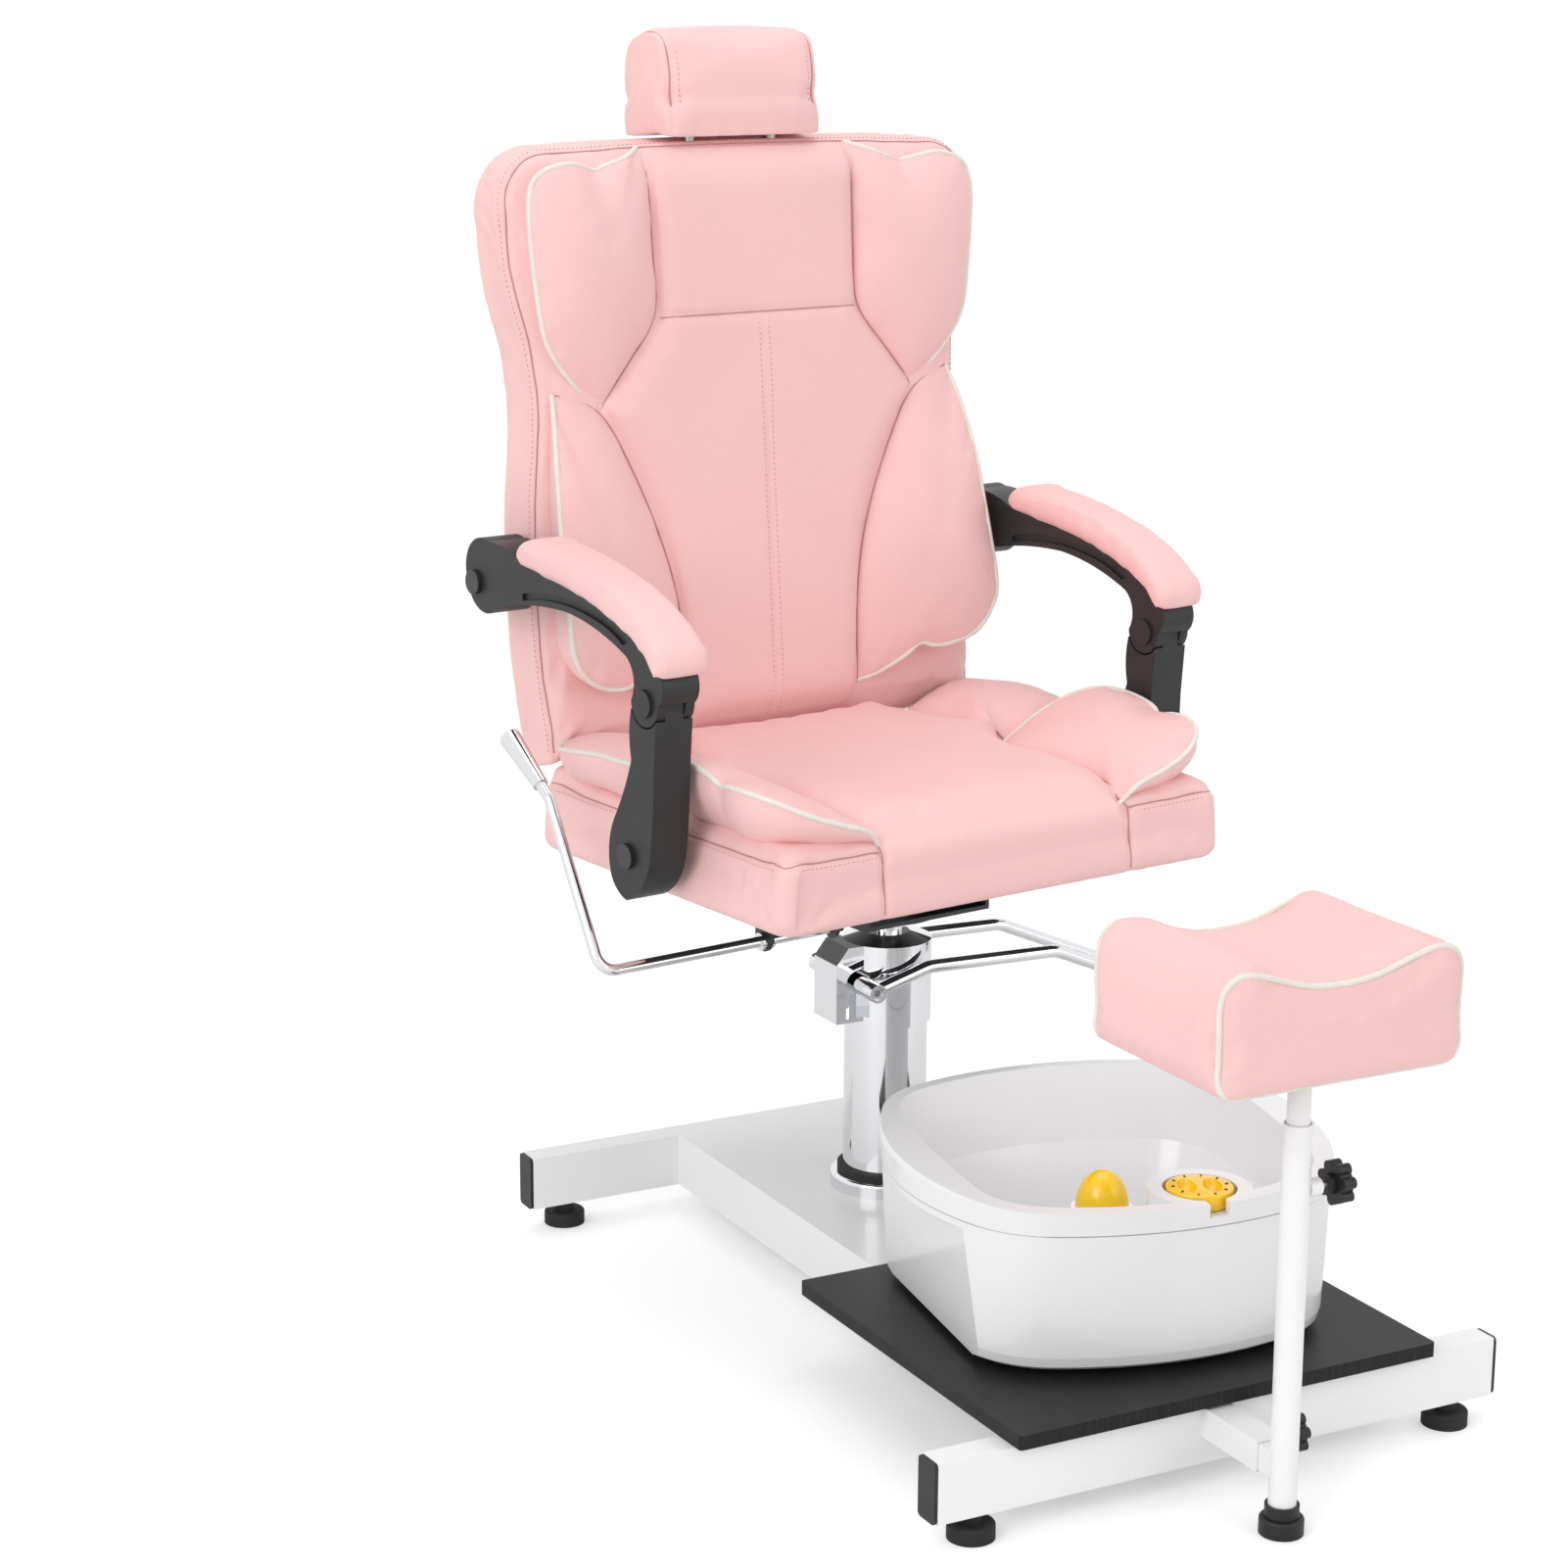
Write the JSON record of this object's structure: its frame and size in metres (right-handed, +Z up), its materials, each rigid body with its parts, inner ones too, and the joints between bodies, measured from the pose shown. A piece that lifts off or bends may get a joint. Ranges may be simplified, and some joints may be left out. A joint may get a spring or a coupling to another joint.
{
  "type": "pedicure chair",
  "caption": "Padded reclining salon chair on a hydraulic pump and tube frame, with armrests, headrest, an adjustable footrest and a lift-out foot basin.",
  "frame": {"origin": "middle of the whole unit's box at floor level", "axes": "+Z up, -Y the way the floor frame faces (footrest end), +X the sitter's left"},
  "size_m": [0.6446, 1.0008, 1.1092],
  "materials": {
    "frame_white": "white powder coat, satin",
    "black_plastic": "fine matt",
    "black_rubber": "matt",
    "board_black": "black laminate, fine grain",
    "steel": "zinc plated",
    "black_steel": "black powder coat",
    "chrome": "polished",
    "black_cloth": "black backing cloth stapled over plywood",
    "pink_leather": "soft pebbled faux leather over foam, white piping",
    "grey_plastic": "dark grey, fine grain",
    "basin_white": "satin gloss",
    "yellow_plastic": "gloss"
  },
  "bodies": {
    "frame": {"front_crossbar": "frame_white", "rear_crossbar": "frame_white", "base_beam": "frame_white", "crossbar_end_caps": "black_plastic", "basin_board": "board_black", "frame_screws": "steel", "pump_base_flange": "chrome", "pump_seal_ring": "black_rubber", "pump_sleeve": "chrome", "pump_barrel": "steel", "pump_head": "chrome", "footrest_stub": "frame_white"},
    "front_left_leveller": {"front_left_foot": "black_rubber"},
    "front_right_leveller": {"front_right_foot": "black_rubber"},
    "rear_left_leveller": {"rear_left_foot": "black_rubber"},
    "rear_right_leveller": {"rear_right_foot": "black_rubber"},
    "pedal": {"foot_pedal": "chrome", "pedal_shaft": "steel"},
    "reach_slide": {"footrest_slide_tube": "frame_white", "footrest_post": "frame_white", "post_foot": "black_plastic"},
    "reach_clamp": {"reach_knob": "black_plastic", "reach_knob_screw": "steel"},
    "height_clamp": {"height_knob": "black_plastic", "height_knob_screw": "steel"},
    "stem": {"footrest_stem": "frame_white"},
    "rest": {"footrest_plate": "black_steel", "footrest_pad": "pink_leather"},
    "lift": {"pump_piston": "chrome", "seat_turntable": "black_steel"},
    "seat": {"seat_bracket": "black_steel", "seat_board": "black_cloth", "seat_cushion": "pink_leather", "seat_front_bolsters": "pink_leather", "seat_rear_bolsters": "pink_leather", "back_hinge_pins": "steel", "strut_bolts": "black_steel"},
    "back": {"back_hinge_straps": "black_steel", "back_board": "pink_leather", "back_cushion": "pink_leather", "back_upper_bolsters": "pink_leather", "back_lower_bolsters": "pink_leather", "arm_bolts": "black_steel"},
    "headrest": {"headrest_pad": "pink_leather", "headrest_posts": "steel"},
    "left_armrest": {"left_arm": "grey_plastic", "left_arm_pad": "pink_leather"},
    "right_armrest": {"right_arm": "grey_plastic", "right_arm_pad": "pink_leather"},
    "left_link": {"left_strut": "grey_plastic"},
    "right_link": {"right_strut": "grey_plastic"},
    "lever": {"recline_lever": "chrome", "lever_grip": "chrome"},
    "basin": {"basin_casing": "basin_white", "basin_tub": "basin_white", "basin_feet": "black_rubber"},
    "dial": {"basin_dial": "yellow_plastic"},
    "dome": {"massage_dome": "yellow_plastic"}
  },
  "joints": [
    {"name": "front_left_foot_screw", "type": "hinge", "parent": "frame", "child": "front_left_leveller", "pos_m": [0.23975, -0.34687, 0], "axis": [0, 0, 1], "continuous": true},
    {"name": "front_right_foot_screw", "type": "hinge", "parent": "frame", "child": "front_right_leveller", "pos_m": [-0.21425, -0.34687, 0], "axis": [0, 0, 1], "continuous": true},
    {"name": "rear_left_foot_screw", "type": "hinge", "parent": "frame", "child": "rear_left_leveller", "pos_m": [0.23975, 0.40313, 0], "axis": [0, 0, 1], "continuous": true},
    {"name": "rear_right_foot_screw", "type": "hinge", "parent": "frame", "child": "rear_right_leveller", "pos_m": [-0.21425, 0.40313, 0], "axis": [0, 0, 1], "continuous": true},
    {"name": "pedal_press", "type": "hinge", "parent": "frame", "child": "pedal", "pos_m": [-0.02775, 0.18963, 0.274], "axis": [0, 1, 0], "range_deg": [0, 20], "stiffness_Nm_per_rad": 6, "springref_deg": -34.38},
    {"name": "footrest_reach", "type": "slide", "parent": "frame", "child": "reach_slide", "axis": [0, -1, 0], "range_m": [0, 0.12]},
    {"name": "reach_knob_turn", "type": "hinge", "parent": "frame", "child": "reach_clamp", "pos_m": [0.03525, -0.40537, 0.0572], "axis": [1, 0, 0], "continuous": true},
    {"name": "height_knob_turn", "type": "hinge", "parent": "reach_slide", "child": "height_clamp", "pos_m": [0.03375, -0.44937, 0.277], "axis": [1, 0, 0], "continuous": true},
    {"name": "footrest_height", "type": "slide", "parent": "reach_slide", "child": "stem", "axis": [0, 0, 1], "range_m": [-0.03, 0.12]},
    {"name": "footrest_turn", "type": "hinge", "parent": "stem", "child": "rest", "pos_m": [0.00075, -0.44937, 0.376], "axis": [0, 0, 1], "continuous": true},
    {"name": "seat_lift", "type": "slide", "parent": "frame", "child": "lift", "axis": [0, 0, 1], "range_m": [0, 0.13]},
    {"name": "seat_swivel", "type": "hinge", "parent": "lift", "child": "seat", "pos_m": [0.01275, 0.18963, 0.3363], "axis": [0, 0, 1], "continuous": true},
    {"name": "back_recline", "type": "hinge", "parent": "seat", "child": "back", "pos_m": [-0.01898, 0.41541, 0.44], "axis": [-0.9903, -0.1392, 0], "range_deg": [0, 30]},
    {"name": "headrest_height", "type": "slide", "parent": "back", "child": "headrest", "axis": [-0.011, 0.078, 0.9969], "range_m": [0, 0.06]},
    {"name": "left_arm_pivot", "type": "hinge", "parent": "back", "child": "left_armrest", "pos_m": [0.23694, 0.44431, 0.631], "axis": [-0.9903, -0.1392, 0], "range_deg": [-28.55, 0]},
    {"name": "right_arm_pivot", "type": "hinge", "parent": "back", "child": "right_armrest", "pos_m": [-0.27297, 0.37265, 0.631], "axis": [-0.9903, -0.1392, 0], "range_deg": [-28.55, 0]},
    {"name": "left_link_pivot", "type": "hinge", "parent": "seat", "child": "left_link", "pos_m": [0.27076, 0.20367, 0.432], "axis": [-0.9903, -0.1392, 0], "range_deg": [0, 40.75]},
    {"name": "right_link_pivot", "type": "hinge", "parent": "seat", "child": "right_link", "pos_m": [-0.23915, 0.13201, 0.432], "axis": [-0.9903, -0.1392, 0], "range_deg": [0, 40.75]},
    {"name": "lever_pull", "type": "hinge", "parent": "seat", "child": "lever", "pos_m": [0.01275, 0.18963, 0.326], "axis": [-0.9903, -0.1392, 0], "range_deg": [0, 18], "stiffness_Nm_per_rad": 3, "springref_deg": -28.65},
    {"name": "basin_lift_out", "type": "slide", "parent": "frame", "child": "basin", "axis": [0, 0, 1], "range_m": [0, 0.12]},
    {"name": "dial_turn", "type": "hinge", "parent": "basin", "child": "dial", "pos_m": [0.02506, -0.29287, 0.224], "axis": [0, 0, 1], "range_deg": [0, 270]},
    {"name": "dome_lift_off", "type": "slide", "parent": "basin", "child": "dome", "axis": [0, 0, 1], "range_m": [0, 0.02]}
  ],
  "couplings": [
    {"joint": "left_arm_pivot", "follows": "back_recline", "ratio": -0.9449},
    {"joint": "right_arm_pivot", "follows": "back_recline", "ratio": -0.9449},
    {"joint": "left_link_pivot", "follows": "back_recline", "ratio": 1.3516},
    {"joint": "right_link_pivot", "follows": "back_recline", "ratio": 1.3516}
  ]
}
